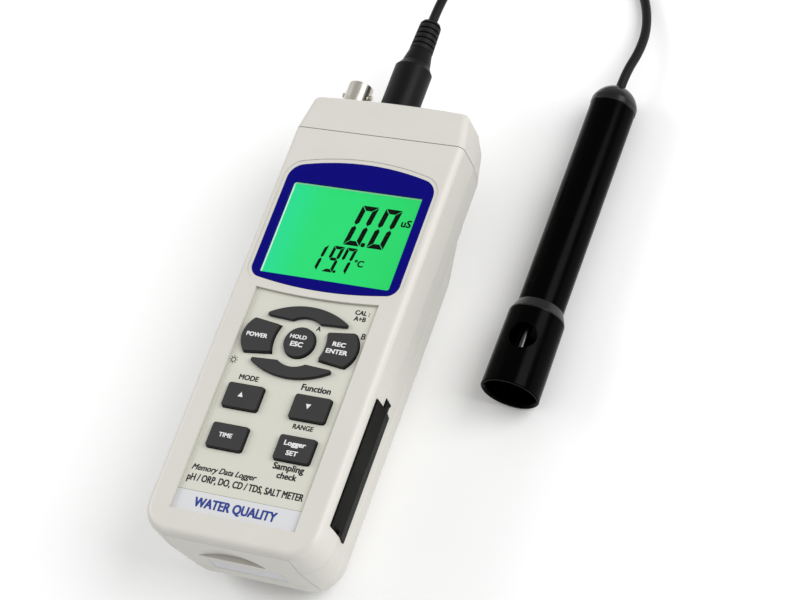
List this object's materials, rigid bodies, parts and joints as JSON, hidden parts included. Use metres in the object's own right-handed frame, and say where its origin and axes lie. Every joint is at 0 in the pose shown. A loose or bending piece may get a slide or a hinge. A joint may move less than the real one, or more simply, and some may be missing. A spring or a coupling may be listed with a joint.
{
  "type": "handheld conductivity meter with probe",
  "caption": "Handheld water quality meter with a green display, rubber keys and side port cover, plugged into a tubular conductivity probe by a coiled signal cable.",
  "frame": {"origin": "middle of the flat back of the battery cover, on which the meter lies", "axes": "+Z is the display's outward normal, +Y runs from the battery end to the sockets, +X is to the right of someone reading the display; the probe lies beside the meter on the same floor"},
  "size_m": [0.1129, 0.3254, 0.0452],
  "materials": {
    "housing": "light grey moulded plastic, semi-gloss, fine grain",
    "lens_blue": "clear acrylic printed deep blue outside the window",
    "lcd_rim": "satin metal",
    "lcd_green": "backlit green display",
    "light_guide": "translucent white",
    "overlay": "pale printed film, satin",
    "key_grey": "dark grey silicone rubber, satin",
    "rubber_black": "soft black rubber",
    "board": "green circuit board",
    "nickel": "bright nickel plate",
    "steel": "zinc-plated steel",
    "gold": "gold-plated contacts",
    "black_plastic": "black moulded plastic, satin",
    "white_plastic": "white insulator",
    "cell_wrap": "plastic-wrapped cell",
    "label_pale": "blank printed label",
    "cable_black": "soft black cable sheath, satin",
    "probe_black": "black satin plastic",
    "graphite": "graphite, dull"
  },
  "bodies": {
    "meter": {"front_shell": "housing", "back_shell": "housing", "top_cap": "housing", "display_lens": "lens_blue", "lcd_frame": "lcd_rim", "lcd_panel": "lcd_green", "backlight": "light_guide", "keypad_overlay": "overlay", "name_strip": "overlay", "trim_arcs": "key_grey", "keypad_mat": "rubber_black", "main_board": "board", "socket_board": "board", "coaxial_jack": "nickel", "coaxial_nut": "nickel", "coaxial_insulator": "white_plastic", "coaxial_contact": "gold", "multi_pin_sockets": "nickel", "socket_insulators": "black_plastic", "card_socket": "steel", "power_jack": "black_plastic", "signal_jack": "black_plastic", "reset_switch": "black_plastic", "cells": "cell_wrap", "cell_springs": "steel", "cell_contacts": "steel", "case_screws": "steel"},
    "key_power": {"key_power": "key_grey"},
    "key_hold": {"key_hold": "key_grey"},
    "key_record": {"key_record": "key_grey"},
    "key_up": {"key_up": "key_grey"},
    "key_down": {"key_down": "key_grey"},
    "key_time": {"key_time": "key_grey"},
    "key_set": {"key_set": "key_grey"},
    "reset_button": {"reset_button": "black_plastic"},
    "battery_cover": {"battery_cover": "housing", "cover_label": "label_pale"},
    "tilt_stand": {"tilt_stand": "housing", "stand_pins": "steel"},
    "port_cover": {"port_cover": "rubber_black"},
    "cable": {"plug_body": "black_plastic", "plug_shell": "nickel", "plug_pins": "gold", "strain_relief": "rubber_black", "cable_to_plug": "cable_black", "cable_to_probe": "cable_black", "cable_coil": "cable_black", "coil_tie": "black_plastic"},
    "probe": {"cell_sleeve": "probe_black", "probe_collar": "probe_black", "probe_handle": "probe_black", "probe_end_cap": "probe_black", "cell_block": "probe_black", "electrodes": "graphite", "temperature_sensor": "steel", "probe_seals": "rubber_black", "cable_clamp": "white_plastic", "probe_lead": "cable_black"}
  },
  "joints": [
    {"name": "key_power_press", "type": "slide", "parent": "meter", "child": "key_power", "axis": [0, 0, -1], "range_m": [0, 0.0008], "stiffness_N_per_m": 800},
    {"name": "key_hold_press", "type": "slide", "parent": "meter", "child": "key_hold", "axis": [0, 0, -1], "range_m": [0, 0.0008], "stiffness_N_per_m": 800},
    {"name": "key_record_press", "type": "slide", "parent": "meter", "child": "key_record", "axis": [0, 0, -1], "range_m": [0, 0.0008], "stiffness_N_per_m": 800},
    {"name": "key_up_press", "type": "slide", "parent": "meter", "child": "key_up", "axis": [0, 0, -1], "range_m": [0, 0.0008], "stiffness_N_per_m": 800},
    {"name": "key_down_press", "type": "slide", "parent": "meter", "child": "key_down", "axis": [0, 0, -1], "range_m": [0, 0.0008], "stiffness_N_per_m": 800},
    {"name": "key_time_press", "type": "slide", "parent": "meter", "child": "key_time", "axis": [0, 0, -1], "range_m": [0, 0.0008], "stiffness_N_per_m": 800},
    {"name": "key_set_press", "type": "slide", "parent": "meter", "child": "key_set", "axis": [0, 0, -1], "range_m": [0, 0.0008], "stiffness_N_per_m": 800},
    {"name": "reset_press", "type": "slide", "parent": "meter", "child": "reset_button", "axis": [-1, 0, 0], "range_m": [0, 0.0004], "stiffness_N_per_m": 800},
    {"name": "battery_cover_slide", "type": "slide", "parent": "meter", "child": "battery_cover", "axis": [0, -1, 0], "range_m": [0, 0.118]},
    {"name": "stand_hinge", "type": "hinge", "parent": "battery_cover", "child": "tilt_stand", "pos_m": [0, 0.026, 0.00125], "axis": [1, 0, 0], "range_deg": [0, 65]},
    {"name": "port_cover_hinge", "type": "hinge", "parent": "meter", "child": "port_cover", "pos_m": [0.03385, -0.02285, 0.0315], "axis": [0, 0, 1], "range_deg": [0, 100]},
    {"name": "plug_pull", "type": "slide", "parent": "meter", "child": "cable", "axis": [0, 1, 0], "range_m": [0, 0.011]},
    {"name": "probe_lift", "type": "slide", "parent": "cable", "child": "probe", "axis": [0, 0, 1], "range_m": [0, 0.03]}
  ]
}
